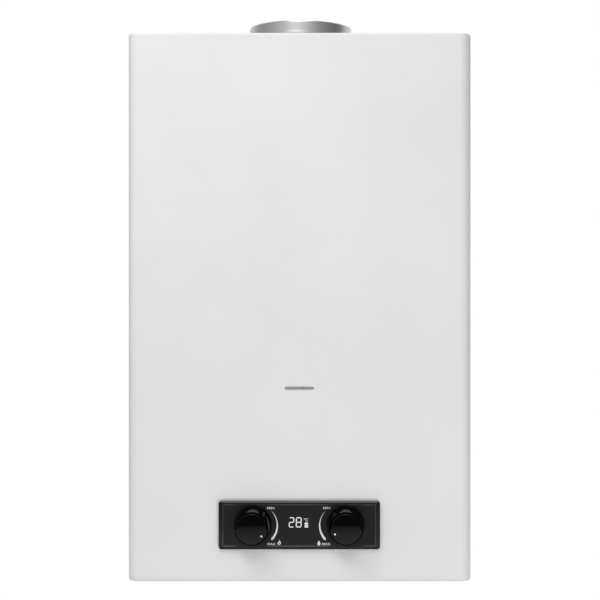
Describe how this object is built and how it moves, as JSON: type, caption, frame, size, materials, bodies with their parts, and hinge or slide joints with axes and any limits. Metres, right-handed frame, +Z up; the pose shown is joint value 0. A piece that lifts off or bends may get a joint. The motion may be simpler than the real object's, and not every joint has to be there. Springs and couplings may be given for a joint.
{
  "type": "tankless gas water heater",
  "caption": "Wall-hung tankless gas water heater: white box casing, round flue collar on top, black panel with knobs and temperature display, threaded pipe ends below.",
  "frame": {"origin": "middle of the four wall fixings, on the wall plane", "axes": "+X to the right seen from the front, +Y into the wall, +Z up"},
  "size_m": [0.344, 0.1887, 0.593],
  "materials": {
    "white_enamel": "satin powder coat",
    "zinc_steel": "zinc plated",
    "galvanised_steel": "galvanised sheet",
    "stainless_steel": "bright",
    "copper": "drawn and brazed copper",
    "brass": "machined",
    "aluminium": "die cast",
    "black_plastic": "moulded",
    "black_rubber": "moulded",
    "gloss_black": "polished moulding",
    "smoked_fascia": "smoked, printed",
    "circuit_green": "circuit board with display",
    "white_ceramic": "glazed",
    "cell_jacket": "plain jacket",
    "lead_insulation": "silicone"
  },
  "bodies": {
    "chassis": {"front_cover": "white_enamel", "sheet_metal_screws": "zinc_steel", "back_plate": "galvanised_steel", "bottom_plate": "white_enamel", "flue_collar": "stainless_steel", "flue_hood": "galvanised_steel", "heat_exchanger_shell": "copper", "heat_exchanger_fins": "copper", "heat_exchanger_tubes": "copper", "heat_exchanger_coil": "copper", "cold_water_pipe": "copper", "hot_water_pipe": "copper", "pipe_nuts": "brass", "burner_bars": "stainless_steel", "burner_box": "galvanised_steel", "burner_stays": "galvanised_steel", "gas_manifold": "aluminium", "gas_injectors": "brass", "gas_riser": "aluminium", "gas_valve_body": "aluminium", "gas_solenoid": "black_plastic", "gas_inlet": "brass", "water_valve_body": "brass", "diaphragm_cover": "brass", "diaphragm": "black_rubber", "diaphragm_screws": "zinc_steel", "cold_water_inlet": "brass", "inlet_filter": "black_plastic", "hot_water_outlet": "brass", "valve_bracket": "galvanised_steel", "micro_switch": "black_plastic", "spindle_glands": "brass", "panel_bezel": "gloss_black", "panel_fascia": "smoked_fascia", "display_module": "circuit_green", "sight_mesh": "stainless_steel", "electrode_insulators": "white_ceramic", "spark_electrode": "stainless_steel", "flame_sensor": "stainless_steel", "electrode_plates": "galvanised_steel", "control_box": "black_plastic", "control_box_lid": "black_plastic", "battery_box": "black_plastic", "battery_cells": "cell_jacket", "battery_contacts": "zinc_steel", "thermostats": "black_plastic", "thermostat_clamp": "stainless_steel", "internal_leads": "lead_insulation"},
    "gas_control": {"gas_knob": "gloss_black", "gas_spindle": "brass", "gas_knob_clip": "stainless_steel"},
    "water_control": {"water_knob": "gloss_black", "water_spindle": "brass", "water_knob_clip": "stainless_steel"},
    "flow_rod": {"flow_rod": "stainless_steel"},
    "switch_lever": {"switch_lever": "stainless_steel"},
    "battery_hatch": {"battery_lid": "black_plastic", "battery_strap": "zinc_steel"},
    "drain_seal": {"drain_seal": "black_rubber"},
    "drain_plug": {"drain_plug": "brass"}
  },
  "joints": [
    {"name": "gas_knob_turn", "type": "hinge", "parent": "chassis", "child": "gas_control", "pos_m": [-0.04625, -0.1617, -0.2175], "axis": [0, -1, 0], "range_deg": [0, 73]},
    {"name": "water_knob_turn", "type": "hinge", "parent": "chassis", "child": "water_control", "pos_m": [0.04625, -0.1617, -0.2175], "axis": [0, 1, 0], "range_deg": [-10, 62]},
    {"name": "flow_rod_slide", "type": "slide", "parent": "chassis", "child": "flow_rod", "axis": [-1, 0, 0], "range_m": [0, 0.004], "stiffness_N_per_m": 200},
    {"name": "switch_lever_swing", "type": "hinge", "parent": "chassis", "child": "switch_lever", "pos_m": [-0.0036, -0.08, -0.195], "axis": [0, 1, 0], "range_deg": [0, 15]},
    {"name": "battery_hatch_swing", "type": "hinge", "parent": "chassis", "child": "battery_hatch", "pos_m": [0.131, -0.04125, -0.2768], "axis": [1, 0, 0], "range_deg": [0, 100]},
    {"name": "drain_plug_lower", "type": "slide", "parent": "chassis", "child": "drain_seal", "axis": [0, 0, -1], "range_m": [0, 0.003]},
    {"name": "drain_plug_turn", "type": "hinge", "parent": "drain_seal", "child": "drain_plug", "pos_m": [0.069, -0.08, -0.2745], "axis": [0, 0, -1], "range_deg": [0, 720]}
  ],
  "couplings": [
    {"joint": "switch_lever_swing", "follows": "flow_rod_slide", "rad_per_m": 63.15},
    {"joint": "drain_plug_turn", "follows": "drain_plug_lower", "rad_per_m": 4188}
  ]
}
